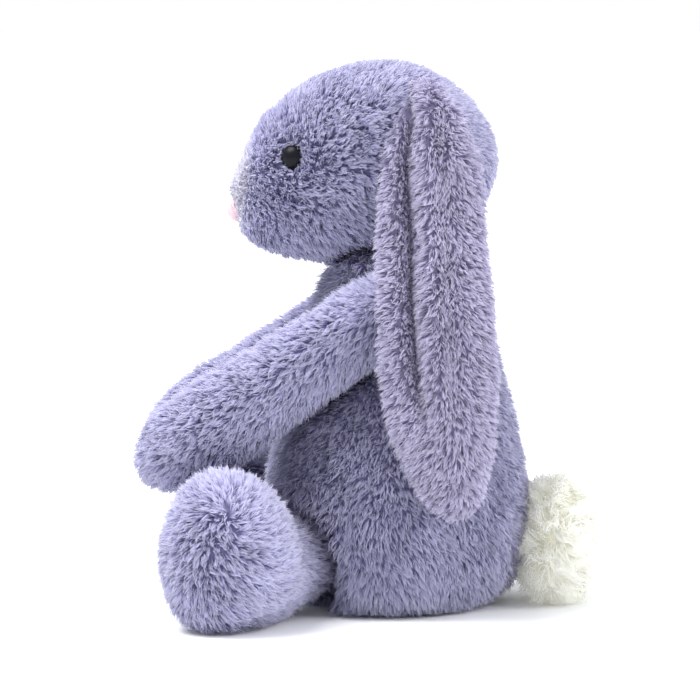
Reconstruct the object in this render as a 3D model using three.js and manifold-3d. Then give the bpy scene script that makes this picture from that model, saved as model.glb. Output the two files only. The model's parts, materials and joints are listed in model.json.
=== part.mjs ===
// A seated plush rabbit with long drooping ears, in millimetres, +Z up. It faces -Y and its own
// left is +X. The origin is on the floor under the middle of its bounding box.
//
// Each soft form is lofted through stations. A station is [place along the form, low edge, high
// edge, half width], and the first and last stations are the rounded ends. Every limb starts in a
// ball that sits in a matching hollow, so it turns there without touching its neighbour.

import * as THREE from 'three';
import { mergeVertices } from 'three/addons/utils/BufferGeometryUtils.js';
import Module from 'manifold-3d';

const wasm = await Module();
wasm.setup();

const LEFT = 1;
const RIGHT = -1;
const SIDES = [['left', LEFT], ['right', RIGHT]];
const REACH = 400; // larger than the whole rabbit, for half spaces

// Cloth and sewing
const PILE = 9; // fur fabric, from the back of the cloth to the tips of the pile
const GAP = 0.3; // between neighbouring pieces
const NEIGHBOUR_GAP = 0.6; // between two limbs that lie against each other
const SEAM_SPACE = 2.1; // between a limb's ball and its hollow, for the seam thread
const THREAD_RADIUS = 0.6;
const SHOULDER_SEAM = new THREE.Vector3(-0.8, 0.55, 0.25).normalize(); // from the joint's middle
const EAR_SEAM = new THREE.Vector3(-0.92, 0, -0.39).normalize();
const CLOTH = 1; // plain woven cloth of the pellet pouch
const HOLLOW_WALL = 4; // cloth and short pile between a limb's hollow and the stuffing

// Torso: stations along Z of [z, front y, back y, half width]
const TORSO_STATIONS = [
  [-9, 9, 9, 0],
  [0, -30, 48, 39],
  [12, -36, 56.5, 46.5],
  [27, -38, 60, 49.5],
  [42, -37, 60.3, 49],
  [60, -33, 57.5, 45.5],
  [80, -28, 52.5, 37],
  [98, -22, 46.5, 29],
  [109, -17.5, 42, 25],
  [117, -11, 36, 21.5],
  [124, -5, 30, 16.5],
  [131, 12, 12, 0],
];
const SIDE_SEAM_Y = -1; // the belly panel meets the two back panels here
const NECK = new THREE.Vector3(0, 12, 110);
const NECK_RADIUS = 24;

// Head: stations along Y of [y, low z, high z, half width]
const HEAD_STATIONS = [
  [-49.3, 149, 149, 0],
  [-46.5, 135.5, 158.5, 10],
  [-41, 129.5, 170.5, 16.5],
  [-33, 125.5, 180, 23],
  [-23, 123, 187.7, 29],
  [-10, 122, 194.3, 33.5],
  [4, 123, 197.3, 36],
  [18, 126, 196, 37],
  [31, 132, 189.3, 33.5],
  [41, 141, 179.5, 24],
  [49, 160, 160, 0],
];
const GUSSET_HALF = 13; // the strip from the nose over the head to the nape
const GUSSET_OUTLINE = [[-60, 152], [14, 152], [14, 110], [60, 110], [60, 210], [-60, 210]];

// Arms: stations along the arm from its ball, of [distance, low, high, half width]
const SHOULDER = new THREE.Vector3(36, 8, 109);
const SHOULDER_RADIUS = 14.5;
const PAW = new THREE.Vector3(28.5, -65.5, 58.5);
const ARM_SWEEP = [0, 14, 28, 42, 55]; // degrees of raise that the torso leaves room for
const ARM_STATIONS = [
  [-14.5, 0, 0, 0],
  [-10.3, -10.2, 10.2, 10.2],
  [0, -14.5, 14.5, 14.5],
  [20, -15, 15, 14.6],
  [45, -15.8, 15.8, 15],
  [66, -17, 17, 15.8],
  [84, -17.8, 17.5, 16.2],
  [95, -14.8, 14.4, 13.6],
  [107, 0, 0, 0],
];

// Legs: stations along the leg from its ball, with heights measured from the hip
const HIP = new THREE.Vector3(24, -24.5, 20);
const HIP_RADIUS = 16;
const LEG_SPLAY = 56; // degrees outward from straight ahead
const LEG_SWEEP = [0, 10, 20]; // degrees of dangle that the torso leaves room for
const SPLAY_SWEEP = [0, 5, 10]; // degrees of further splay
const LEG_STATIONS = [
  [-16, 0, 0, 0],
  [-11.3, -11.3, 11.3, 11.3],
  [0, -16, 16, 16],
  [10, -18, 16, 16],
  [18, -22, 20, 17.5],
  [26, -23.5, 30, 22],
  [37, -24, 37.5, 24.5],
  [48, -23.5, 36.5, 24],
  [58, -19, 28, 18],
  [65.5, 3, 3, 0],
];

// Ears: stations along the ear's middle line of [distance, front y, back y, half thickness]
const EAR_STATIONS = [
  [0, 22, 22, 0],
  [5.2, 16.8, 27.2, 5.2],
  [17, 11.5, 33.5, 4.6],
  [31, 7, 39, 5.8],
  [46, 4.2, 42, 6.8],
  [64, 3, 43.3, 7],
  [94, 3.2, 46, 7],
  [113, 4, 47, 7],
  [131, 7.5, 46, 6.6],
  [146, 13, 44.3, 6],
  [157, 20.5, 41, 4.9],
  [164.5, 32, 32, 0],
];
const EAR_LINE = [ // x and z of the middle line, from above the root to the tip
  [24.7, 189.7], [28.5, 186], [41, 179.8], [46.5, 167], [46.6, 153], [50.4, 136],
  [56, 120], [59.8, 107], [60.8, 90], [60.3, 65], [57.8, 36.5],
];
const EAR_ROOT = new THREE.Vector3(28.5, 22, 186);
const EAR_ROOT_RADIUS = 5.2;
const FOLD_Y = 16.5; // the lengthwise fold on the outer face
const FOLD_DEPTH = 3.6;
const FOLD_WIDTH = 4.5;
const FOLD_SPAN = [22, 120]; // along the ear

// Tail: a pom-pom on a small ball, turned about its own front-to-back axis
const TAIL_ROOT = new THREE.Vector3(0, 57.4, 22);
const TAIL_ROOT_RADIUS = 7;
const TAIL_OUTLINE = [[12, 4.6], [17.5, 5], [20.6, 7.6], [21.7, 12], [20.8, 17.6], [16.4, 22.2], [8.6, 25]];
const TAIL_TIP = 25.6;
const TAIL_CORE = [[6, 8.4], [10, 9], [12, 12], [11, 15.8], [6.8, 17.8]];
const TAIL_CORE_TIP = 18.8;
const TAIL_MOUTH = 3.4; // half width of the opening that the stuffing shows through

// Pellet pouch inside the base
const POUCH_CENTRE = new THREE.Vector3(0, 24, PILE + GAP);
const POUCH_RADIUS = 17;
const POUCH_HEIGHT = 22;

// Safety eyes and nose
const EYE_SEAT = new THREE.Vector3(23.2, -26, 162.2);
const EYE_OUTWARD = new THREE.Vector3(0.88, -0.42, 0.22).normalize();
const EYE_RADIUS = 4.6;
const EYE_DOME = 3.6;
const SHANK_RADIUS = 2;
const SHANK_LENGTH = 13;
const WASHER_RADIUS = 6.5;
const WASHER_THICKNESS = 1.6;
const WASHER_DEPTH = 8.6; // from the eye's seat to the washer's outer face
const NOSE_CENTRE = new THREE.Vector3(0, -46.2, 143);
const NOSE_STATIONS = [ // along Z, of [z, front y, back y, half width]
  [-5.2, 0, 0, 0],
  [-3, -2.1, 2.6, 3],
  [0.5, -2.7, 3, 5.4],
  [3.4, -2.2, 2.8, 6],
  [5.2, 0.4, 0.4, 0],
];

const FUR = new THREE.MeshStandardMaterial({ color: 0x8f8bb4, roughness: 0.95, metalness: 0 });
const LINING = new THREE.MeshStandardMaterial({ color: 0x9a96bf, roughness: 0.95, metalness: 0 });
const CREAM = new THREE.MeshStandardMaterial({ color: 0xe9e7d8, roughness: 0.95, metalness: 0 });
const FIBRE = new THREE.MeshStandardMaterial({ color: 0xf2f2ee, roughness: 1, metalness: 0 });
const COTTON = new THREE.MeshStandardMaterial({ color: 0xe4dfd2, roughness: 0.9, metalness: 0 });
const PELLET = new THREE.MeshStandardMaterial({ color: 0xd9dde2, roughness: 0.5, metalness: 0 });
const BLACK = new THREE.MeshStandardMaterial({ color: 0x0b0b10, roughness: 0.12, metalness: 0 });
const NYLON = new THREE.MeshStandardMaterial({ color: 0xdcdcd6, roughness: 0.5, metalness: 0 });
const PINK = new THREE.MeshStandardMaterial({ color: 0xe3c3cc, roughness: 0.8, metalness: 0 });
const THREAD = new THREE.MeshStandardMaterial({ color: 0x7f7ba6, roughness: 0.8, metalness: 0 });

// ---- solids from geometry, and geometry from solids

function signedVolume(geometry) {
  const position = geometry.getAttribute('position');
  const corners = [0, 1, 2].map(() => new THREE.Vector3());
  let volume = 0;
  for (let i = 0; i < geometry.index.count; i += 3) {
    corners.forEach((corner, k) => corner.fromBufferAttribute(position, geometry.index.getX(i + k)));
    volume += corners[0].dot(corners[1].cross(corners[2])) / 6;
  }
  return volume;
}

function solid(geometry) {
  const bare = new THREE.BufferGeometry();
  bare.setAttribute('position', geometry.getAttribute('position'));
  bare.setIndex(geometry.index);
  const merged = mergeVertices(bare, 1e-4);
  const triVerts = Uint32Array.from(merged.index.array);
  if (signedVolume(merged) < 0) triVerts.reverse();
  const vertProperties = Float32Array.from(merged.getAttribute('position').array);
  return new wasm.Manifold(new wasm.Mesh({ numProp: 3, vertProperties, triVerts }));
}

function surface(body) {
  const { vertProperties, triVerts } = body.getMesh();
  const geometry = new THREE.BufferGeometry();
  geometry.setAttribute('position', new THREE.BufferAttribute(vertProperties, 3));
  geometry.setIndex(new THREE.BufferAttribute(triVerts, 1));
  geometry.computeVertexNormals();
  return geometry;
}

// ---- shapes

const straight = (across, height, along, target) => target.set(across, height, along);
const alongY = (across, height, along, target) => target.set(across, along, height);

// A closed form through stations, with its walls moved in by inset.
function loft(stations, { place = straight, inset = 0, around = 24, rings = 14 } = {}) {
  const first = stations[0][0];
  const length = stations.at(-1)[0] - first;
  const angles = stations.map(([along]) => Math.acos(1 - 2 * (along - first) / length));
  const sizes = stations.flatMap(([, low, high, half]) => [(low + high) / 2, (high - low) / 2, half]);
  const spline = new THREE.CubicInterpolant(angles, sizes, 3, new Float64Array(3));
  const geometry = new THREE.SphereGeometry(1, around, rings);
  const position = geometry.getAttribute('position');
  const point = new THREE.Vector3();
  for (let i = 0; i < position.count; i += 1) {
    point.fromBufferAttribute(position, i);
    const angle = Math.acos(THREE.MathUtils.clamp(point.y, -1, 1));
    const turn = Math.atan2(point.z, point.x);
    const end = Math.sin(angle);
    const pole = end < 1e-6;
    const [middle, rise, half] = spline.evaluate(angle);
    const across = pole ? 0 : (half - inset * end) * Math.cos(turn);
    const height = pole ? middle : middle + (rise - inset * end) * Math.sin(turn);
    const along = first + length / 2 - (length / 2 - inset) * Math.cos(angle);
    place(across, height, along, point);
    position.setXYZ(i, point.x, point.y, point.z);
  }
  return geometry;
}

function ball(centre, radius, around = 24, rings = 12) {
  return solid(new THREE.SphereGeometry(radius, around, rings).translate(...centre));
}

// Room for something round, with a wall left around it. The facets all lie outside its radius.
function hollow(centre, radius, wall = 0, around = wall > 0 ? 12 : 18) {
  const rings = Math.round(around * 0.56);
  const facetDepth = Math.cos(Math.PI / around) * Math.cos(Math.PI / 2 / rings);
  return ball(centre, (radius + SEAM_SPACE + wall) / facetDepth, around, rings);
}

function block(low, high) {
  const size = high.map((value, i) => value - low[i]);
  const middle = high.map((value, i) => (value + low[i]) / 2);
  return solid(new THREE.BoxGeometry(...size).translate(...middle));
}

function cutBelow(body, level, axis = 2) {
  return body.subtract(block([-REACH, -REACH, -REACH], [REACH, REACH, REACH].with(axis, level)));
}

// The parts of a body on the two sides of a plane across one axis, with a gap between them.
function halves(body, axis, level) {
  const [lowEnd, highStart] = [level - GAP / 2, level + GAP / 2];
  const lowCorner = [-REACH, -REACH, -REACH];
  const highCorner = [REACH, REACH, REACH];
  const below = block(lowCorner, highCorner.with(axis, lowEnd));
  const above = block(lowCorner.with(axis, highStart), highCorner);
  return { low: body.intersect(below), high: body.intersect(above) };
}

function mirrored(vector, side) {
  return new THREE.Vector3(side * vector.x, vector.y, vector.z);
}

// A thread ring on a ball, around the given direction, set back from the ball's middle.
function seamRing(name, centre, radius, direction, offset, segments = 16) {
  const track = radius + SEAM_SPACE / 2;
  const ringRadius = Math.sqrt(track ** 2 - offset ** 2);
  const mesh = new THREE.Mesh(new THREE.TorusGeometry(ringRadius, THREAD_RADIUS, 5, segments), THREAD);
  mesh.name = name;
  mesh.quaternion.setFromUnitVectors(new THREE.Vector3(0, 0, 1), direction);
  mesh.position.copy(centre).addScaledVector(direction, offset);
  return mesh;
}

function piece(name, body, material) {
  const mesh = new THREE.Mesh(surface(body), material);
  mesh.name = name;
  return mesh;
}

// A group at a joint, with its +Z towards the target and its +X level.
function aimed(origin, target) {
  const frame = new THREE.Group();
  frame.up.set(0, 0, 1);
  frame.position.copy(origin);
  frame.lookAt(target);
  frame.updateMatrixWorld(true);
  return frame;
}

// ---- arms and legs

function armFrame(side) {
  return aimed(mirrored(SHOULDER, side), mirrored(PAW, side));
}

function legFrame(side, further = 0) {
  const splay = THREE.MathUtils.degToRad(LEG_SPLAY + further);
  const toe = new THREE.Vector3(side * Math.sin(splay), -Math.cos(splay), 0);
  return aimed(mirrored(HIP, side), toe.add(mirrored(HIP, side)));
}

function placed(geometry, frame) {
  return solid(geometry.applyMatrix4(frame.matrixWorld));
}

// Two fur panels around a stuffing core. The seam runs along the limb's upper and lower edges.
function paddedLimb(name, side, outside, inside, core) {
  const { low, high } = halves(outside.subtract(inside), 0, 0);
  const [outer, inner] = side === LEFT ? [high, low] : [low, high];
  return [
    piece(`${name}_outer`, outer, FUR),
    piece(`${name}_inner`, inner, FUR),
    piece(`${name}_stuffing`, core, FIBRE),
  ];
}

function makeArm(sideName, side) {
  const frame = armFrame(side);
  const outside = solid(loft(ARM_STATIONS, { around: 16, rings: 11 }));
  const inside = solid(loft(ARM_STATIONS, { inset: PILE, around: 8, rings: 7 }));
  const core = solid(loft(ARM_STATIONS, { inset: PILE + GAP, around: 8, rings: 7 }));
  frame.add(...paddedLimb(`arm_${sideName}`, side, outside, inside, core));
  return frame;
}

function makeLeg(sideName, side) {
  const frame = legFrame(side);
  const standing = (inset, around, rings) => {
    const form = solid(loft(LEG_STATIONS, { inset, around, rings }));
    return cutBelow(form, inset - HIP.z, 1);
  };
  const [outside, inside, core] = [
    standing(0, 18, 11), standing(PILE, 10, 7), standing(PILE + GAP, 10, 7),
  ];
  frame.add(...paddedLimb(`leg_${sideName}`, side, outside, inside, core));
  const back = new THREE.Vector3(0, 0, -1);
  frame.add(seamRing(`hip_seam_${sideName}`, new THREE.Vector3(), HIP_RADIUS, back, 13));
  return frame;
}

// ---- torso

function torsoForm(inset, around, rings) {
  const form = solid(loft(TORSO_STATIONS, { inset, around, rings }));
  return cutBelow(form, inset).add(ball(NECK, NECK_RADIUS - inset, around, 12));
}

function carveLimbHollows(body, wall) {
  let carved = body.subtract(hollow(TAIL_ROOT, TAIL_ROOT_RADIUS, wall, 12));
  for (const [, side] of SIDES) {
    const shoulder = hollow(mirrored(SHOULDER, side), SHOULDER_RADIUS, wall);
    const hip = hollow(mirrored(HIP, side), HIP_RADIUS, wall);
    carved = carved.subtract(shoulder).subtract(hip);
  }
  return carved;
}

// What a limb takes up as it turns about its own level axis, through the given angles.
function swept(stations, frame, angles) {
  return angles.map((angle) => {
    const form = loft(stations, { inset: -NEIGHBOUR_GAP, around: 16, rings: 11 });
    return placed(form.rotateX(THREE.MathUtils.degToRad(angle)), frame);
  });
}

function limbRoom() {
  const rooms = SIDES.flatMap(([, side]) => [
    ...swept(ARM_STATIONS, armFrame(side), ARM_SWEEP.map((angle) => -angle)),
    ...SPLAY_SWEEP.flatMap((further) => swept(LEG_STATIONS, legFrame(side, further), LEG_SWEEP)),
  ]);
  return rooms.reduce((room, next) => room.add(next));
}

function pouchDome(grow) {
  const profile = new THREE.Path();
  profile.moveTo(0, -grow);
  profile.lineTo(POUCH_RADIUS + grow, -grow);
  profile.bezierCurveTo(
    POUCH_RADIUS + grow, POUCH_HEIGHT * 0.62,
    POUCH_RADIUS * 0.6, POUCH_HEIGHT + grow,
    0, POUCH_HEIGHT + grow,
  );
  return solid(upright(new THREE.LatheGeometry(profile.getPoints(4), 14)));
}

// A lathe turned from its own Y axis to stand along +Z at the pouch.
function upright(geometry) {
  return geometry.rotateX(Math.PI / 2).translate(...POUCH_CENTRE);
}

function makePouch() {
  const cover = pouchDome(0).subtract(pouchDome(-CLOTH));
  const base = turned([[0, 0], [POUCH_RADIUS, 0], [POUCH_RADIUS, CLOTH], [0, CLOTH]], 14);
  return [
    piece('pellet_pouch_upper', halves(cover, 2, POUCH_CENTRE.z + CLOTH + GAP).high, COTTON),
    piece('pellet_pouch_base', solid(upright(base)), COTTON),
    piece('pellet_fill', pouchDome(-CLOTH - GAP), PELLET),
  ];
}

function makeTorso() {
  const outside = carveLimbHollows(torsoForm(0, 26, 13), 0).subtract(limbRoom());
  const inside = carveLimbHollows(torsoForm(PILE, 12, 8), HOLLOW_WALL);
  const core = carveLimbHollows(torsoForm(PILE + GAP, 12, 8), HOLLOW_WALL + GAP);
  const { low: belly, high: back } = halves(outside.subtract(inside), 1, SIDE_SEAM_Y);
  const { low: backRight, high: backLeft } = halves(back, 0, 0);
  return [
    piece('belly_panel', belly, FUR),
    piece('back_panel_left', backLeft, FUR),
    piece('back_panel_right', backRight, FUR),
    piece('body_stuffing', core.subtract(pouchDome(GAP)), FIBRE),
    ...makePouch(),
  ];
}

// ---- head

function headForm(inset, around, rings) {
  return solid(loft(HEAD_STATIONS, { place: alongY, inset, around, rings }));
}

function gussetBlock(grow) {
  const outline = new THREE.Shape(GUSSET_OUTLINE.map(([y, z]) => new THREE.Vector2(y, z)));
  const half = GUSSET_HALF + grow;
  const extruded = new THREE.ExtrudeGeometry(outline, { depth: 2 * half, bevelEnabled: false });
  const axes = new THREE.Matrix4().makeBasis(
    new THREE.Vector3(0, 1, 0),
    new THREE.Vector3(0, 0, 1),
    new THREE.Vector3(1, 0, 0),
  );
  extruded.deleteAttribute('normal');
  extruded.deleteAttribute('uv');
  const merged = mergeVertices(extruded);
  return solid(merged.applyMatrix4(axes).translate(-half, -grow, -grow));
}

function eyeFrame(side) {
  const frame = new THREE.Group();
  frame.position.copy(mirrored(EYE_SEAT, side));
  frame.quaternion.setFromUnitVectors(new THREE.Vector3(0, 1, 0), mirrored(EYE_OUTWARD, side));
  frame.updateMatrixWorld(true);
  return frame;
}

function turned(points, segments = 12) {
  return new THREE.LatheGeometry(points.map(([radius, y]) => new THREE.Vector2(radius, y)), segments);
}

function domePoints(radius, height, steps) {
  return Array.from({ length: steps }, (_, i) => {
    const angle = (i + 1) / steps * Math.PI / 2;
    return [radius * Math.cos(angle), height * Math.sin(angle)];
  }).with(steps - 1, [0, height]);
}

function makeEye(sideName, side) {
  const frame = eyeFrame(side);
  const eye = turned([
    [0, -SHANK_LENGTH], [SHANK_RADIUS, -SHANK_LENGTH], [SHANK_RADIUS, -1],
    [EYE_RADIUS, -1], [EYE_RADIUS, 0], ...domePoints(EYE_RADIUS, EYE_DOME, 3),
  ]);
  const hole = SHANK_RADIUS + GAP;
  const inner = -WASHER_DEPTH - WASHER_THICKNESS;
  const washer = turned([
    [hole, inner], [WASHER_RADIUS, inner], [WASHER_RADIUS, -WASHER_DEPTH], [hole, -WASHER_DEPTH],
    [hole, inner],
  ]);
  frame.add(piece(`eye_${sideName}`, solid(eye), BLACK));
  frame.add(piece(`eye_washer_${sideName}`, solid(washer), NYLON));
  return frame;
}

// The room that an eye takes up: a well for the dome, a shank hole, and the washer's place.
function eyeRoom(side) {
  const well = EYE_RADIUS + GAP;
  const hole = SHANK_RADIUS + GAP;
  const place = WASHER_RADIUS + GAP;
  const inner = -SHANK_LENGTH - GAP;
  const room = turned([
    [0, inner], [place, inner], [place, GAP - WASHER_DEPTH], [hole, GAP - WASHER_DEPTH],
    [hole, -1 - GAP], [well, -1 - GAP], [well, 12], [0, 12],
  ]);
  return placed(room, eyeFrame(side));
}

function noseForm(inset) {
  const form = loft(NOSE_STATIONS, { inset, around: 12, rings: 6 });
  return solid(form.translate(...NOSE_CENTRE));
}

function carveHead(body, wall) {
  let carved = body.subtract(hollow(NECK, NECK_RADIUS, wall, wall > 0 ? 14 : 24));
  for (const [, side] of SIDES) {
    const root = hollow(mirrored(EAR_ROOT, side), EAR_ROOT_RADIUS, 0, 14);
    carved = carved.subtract(root).subtract(eyeRoom(side));
  }
  return carved.subtract(noseForm(-GAP));
}

function makeHead() {
  const inside = headForm(PILE, 12, 8).subtract(hollow(NECK, NECK_RADIUS, PILE, 14));
  const shell = carveHead(headForm(0, 26, 13).subtract(inside), 0);
  const core = carveHead(headForm(PILE + GAP, 12, 8), PILE + GAP);
  const { low: sideRight, high: sideLeft } = halves(shell.subtract(gussetBlock(GAP)), 0, 0);
  return [
    piece('head_gusset', shell.intersect(gussetBlock(0)), FUR),
    piece('head_side_left', sideLeft, FUR),
    piece('head_side_right', sideRight, FUR),
    piece('head_stuffing', core, FIBRE),
    piece('nose', noseForm(0), PINK),
  ];
}

// ---- ears

// Half of an ear: face 1 is the outer face of the ear, with its fold, and -1 the lining.
function earHalf(side, face) {
  const points = EAR_LINE.map(([x, z]) => new THREE.Vector3(x, 0, z));
  const line = new THREE.CatmullRomCurve3(points, false, 'centripetal');
  const length = EAR_STATIONS.at(-1)[0];
  const place = (across, y, along, target) => {
    const share = THREE.MathUtils.clamp(along / length, 0, 1);
    const tangent = line.getTangentAt(share);
    const depth = face * Math.max(face * across - foldDepth(y, along, face), GAP / 2);
    line.getPointAt(share, target);
    target.x = side * (target.x - depth * tangent.z);
    target.z += depth * tangent.x;
    target.y = y;
  };
  return solid(loft(EAR_STATIONS, { place, around: 22, rings: 13 }));
}

function foldDepth(y, along, face) {
  const [start, end] = FOLD_SPAN;
  const share = THREE.MathUtils.clamp((along - start) / (end - start), 0, 1);
  const across = Math.exp(-(((y - FOLD_Y) / FOLD_WIDTH) ** 2));
  return face > 0 ? FOLD_DEPTH * across * Math.sin(share * Math.PI) ** 0.5 : 0;
}

function makeEar(sideName, side) {
  return [
    piece(`ear_${sideName}_outer`, earHalf(side, 1), FUR),
    piece(`ear_${sideName}_lining`, earHalf(side, -1), LINING),
  ];
}

// ---- tail

function tailRoot(radius, start, steps) {
  const end = -Math.PI / 3.2;
  return Array.from({ length: steps + 1 }, (_, i) => {
    const angle = start + (end - start) * i / steps;
    return [radius * Math.cos(angle), -radius * Math.sin(angle)];
  });
}

function makeTail() {
  const frame = new THREE.Group();
  frame.position.copy(TAIL_ROOT);
  const mouth = Math.acos(TAIL_MOUTH / TAIL_ROOT_RADIUS);
  const root = tailRoot(TAIL_ROOT_RADIUS, mouth, 4);
  const cover = turned([
    [0, TAIL_CORE_TIP + GAP], ...TAIL_CORE.map(([r, y]) => [r + GAP, y]).reverse(),
    [TAIL_MOUTH, 5], ...root, ...TAIL_OUTLINE, [0, TAIL_TIP],
  ].reverse(), 18);
  const core = turned([
    [0, -5.6], [TAIL_MOUTH - GAP, -5.6], [TAIL_MOUTH - GAP, 5], ...TAIL_CORE, [0, TAIL_CORE_TIP],
  ], 10);
  frame.add(piece('tail_cover', solid(cover), CREAM), piece('tail_stuffing', solid(core), FIBRE));
  return frame;
}

// ---- the whole rabbit

const group = new THREE.Group();
group.add(...makeTorso(), ...makeHead(), makeTail());
const up = new THREE.Vector3(0, 0, 1);
const rearward = new THREE.Vector3(0, 1, 0);
group.add(seamRing('neck_seam', NECK, NECK_RADIUS, up, 13, 24));
group.add(seamRing('tail_seam', TAIL_ROOT, TAIL_ROOT_RADIUS, rearward, 1, 12));
for (const [sideName, side] of SIDES) {
  group.add(makeArm(sideName, side), makeLeg(sideName, side), makeEye(sideName, side));
  group.add(...makeEar(sideName, side));
  const [shoulder, shoulderSeam] = [mirrored(SHOULDER, side), mirrored(SHOULDER_SEAM, side)];
  const [ear, earSeam] = [mirrored(EAR_ROOT, side), mirrored(EAR_SEAM, side)];
  group.add(
    seamRing(`shoulder_seam_${sideName}`, shoulder, SHOULDER_RADIUS, shoulderSeam, 12.3),
    seamRing(`ear_seam_${sideName}`, ear, EAR_ROOT_RADIUS, earSeam, 4.9, 12),
  );
}

export default group;
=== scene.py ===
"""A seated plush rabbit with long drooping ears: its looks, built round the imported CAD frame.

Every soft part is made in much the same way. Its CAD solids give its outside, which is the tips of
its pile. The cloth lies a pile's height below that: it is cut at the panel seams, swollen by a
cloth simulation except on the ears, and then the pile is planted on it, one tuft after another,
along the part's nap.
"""

import json
import math

import bmesh
import bpy
import numpy as np
from mathutils import Euler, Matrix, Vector
from mathutils.bvhtree import BVHTree


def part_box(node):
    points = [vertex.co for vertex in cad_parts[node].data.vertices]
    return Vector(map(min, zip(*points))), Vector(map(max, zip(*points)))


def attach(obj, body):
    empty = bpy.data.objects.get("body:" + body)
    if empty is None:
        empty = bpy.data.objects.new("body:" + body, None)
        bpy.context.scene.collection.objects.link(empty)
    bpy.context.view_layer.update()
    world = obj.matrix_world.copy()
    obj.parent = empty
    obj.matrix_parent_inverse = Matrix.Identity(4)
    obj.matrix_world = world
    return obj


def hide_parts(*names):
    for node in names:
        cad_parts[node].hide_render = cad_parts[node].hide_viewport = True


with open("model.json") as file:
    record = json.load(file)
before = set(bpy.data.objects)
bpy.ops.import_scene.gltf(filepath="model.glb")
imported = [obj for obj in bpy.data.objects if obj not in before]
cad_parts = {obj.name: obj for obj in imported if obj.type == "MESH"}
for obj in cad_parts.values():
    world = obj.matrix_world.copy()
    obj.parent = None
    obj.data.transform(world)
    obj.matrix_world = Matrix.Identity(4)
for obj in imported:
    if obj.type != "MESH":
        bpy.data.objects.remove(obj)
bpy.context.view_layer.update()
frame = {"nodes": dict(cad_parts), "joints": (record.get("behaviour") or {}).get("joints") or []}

MM = 0.001
SIDES = (("left", 1), ("right", -1))
FLOOR_CLEARANCE = 0.25 * MM  # the lowest that a fibre lies

# ---------------------------------------------------------------- camera, light and floor

VIEW_CENTRE = Vector((0.0, -4.9, 91.4)) * MM
VIEW_DISTANCE = 1250 * MM
VIEW_WIDTH = 252 * MM
VIEW_ELEVATION = math.radians(5.5)
SENSOR_WIDTH = 36
FILL_LIGHT = 0.9  # strength of the sky as a light
FLOOR_REACH = 40.0  # in metres, so that its edge is hidden in the white
FLOOR_GAP = 0.05 * MM  # between the floor and the rabbit's base


def make_camera():
    data = bpy.data.cameras.new("camera")
    data.sensor_width = SENSOR_WIDTH
    data.lens = SENSOR_WIDTH * VIEW_DISTANCE / VIEW_WIDTH
    camera = new_object("camera", data)
    towards = Vector((math.cos(VIEW_ELEVATION), 0, math.sin(VIEW_ELEVATION)))
    camera.location = VIEW_CENTRE + towards * VIEW_DISTANCE
    camera.rotation_euler = (-towards).to_track_quat("-Z", "Y").to_euler()
    bpy.context.scene.camera = camera


def make_softbox(towards, width, power):
    """A broad lamp so far off that it lights the floor evenly. towards points at it."""
    data = bpy.data.lights.new("softbox", "SUN")
    data.angle = math.radians(width)
    data.energy = power
    light = new_object("softbox", data)
    light.rotation_euler = Vector(towards).to_track_quat("Z", "Y").to_euler()


def make_sky():
    """An even sky that fills the shadows. The camera sees plain white in its place."""
    world = bpy.data.worlds.new("studio")
    world.use_nodes = True
    nodes = world.node_tree.nodes
    fill = nodes["Background"]
    feed(world.node_tree, fill, {"Color": (0.96, 0.97, 1.0, 1), "Strength": FILL_LIGHT})
    wall = add_node(world, "ShaderNodeBackground", {"Color": (1, 1, 1, 1), "Strength": 1.0})
    path = add_node(world, "ShaderNodeLightPath")
    choice = add_node(world, "ShaderNodeMixShader", {
        0: path.outputs["Is Camera Ray"], 1: fill.outputs[0], 2: wall.outputs[0]})
    feed(world.node_tree, nodes["World Output"], {"Surface": choice.outputs[0]})
    return world


def make_studio():
    scene = bpy.context.scene
    scene.view_settings.view_transform = "Standard"
    scene.world = make_sky()
    make_softbox(towards=(0.15, -0.6, 1.2), width=40, power=3.3)
    make_softbox(towards=(0.4, 1.0, 0.6), width=40, power=1.6)

    data = bpy.data.meshes.new("floor")
    signs = ((-1, -1), (1, -1), (1, 1), (-1, 1))
    corners = [(x * FLOOR_REACH, y * FLOOR_REACH, 0) for x, y in signs]
    data.from_pydata(corners, [], [(0, 1, 2, 3)])
    floor = new_object("floor", data)
    floor.location.z = -FLOOR_GAP
    floor.data.materials.append(new_material("floor_paper", (0.93, 0.94, 0.95), roughness=0.9))


# ---------------------------------------------------------------- materials


def srgb(red, green, blue):
    """A colour given as 0-255 display values, in linear light."""
    def linear(value):
        share = value / 255
        return share / 12.92 if share <= 0.04045 else ((share + 0.055) / 1.055) ** 2.4
    return tuple(linear(v) for v in (red, green, blue))


def new_material(name, colour, roughness, **sockets):
    """A material of one colour. A socket's name has _ for each space."""
    material = bpy.data.materials.new(name)
    material.use_nodes = True
    named = {socket.replace("_", " "): value for socket, value in sockets.items()}
    feed(material.node_tree, material.node_tree.nodes["Principled BSDF"],
         {"Base Color": (*colour, 1), "Roughness": roughness, **named})
    return material


def feed(tree, node, inputs):
    """Give a node's inputs, by name or number, a value or the socket that feeds them."""
    for key, value in inputs.items():
        if isinstance(value, bpy.types.NodeSocket):
            tree.links.new(value, node.inputs[key])
        else:
            node.inputs[key].default_value = value


def add_node(material, kind, inputs=None, **settings):
    node = material.node_tree.nodes.new(kind)
    for key, value in settings.items():
        setattr(node, key, value)
    feed(material.node_tree, node, inputs or {})
    return node


TOP_TONE = 0.8  # above this a tuft turns to the pale colour


def ramp_node(material, source, stops):
    """A colour ramp over the source's value. stops are (position, colour), the middle ones last."""
    ramp = add_node(material, "ShaderNodeValToRGB", {"Fac": source})
    elements = ramp.color_ramp.elements
    for number, (position, colour) in enumerate(stops):
        element = elements[number] if number < 2 else elements.new(position)
        element.position, element.color = position, (*colour, 1)
    return ramp.outputs["Color"]


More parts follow.
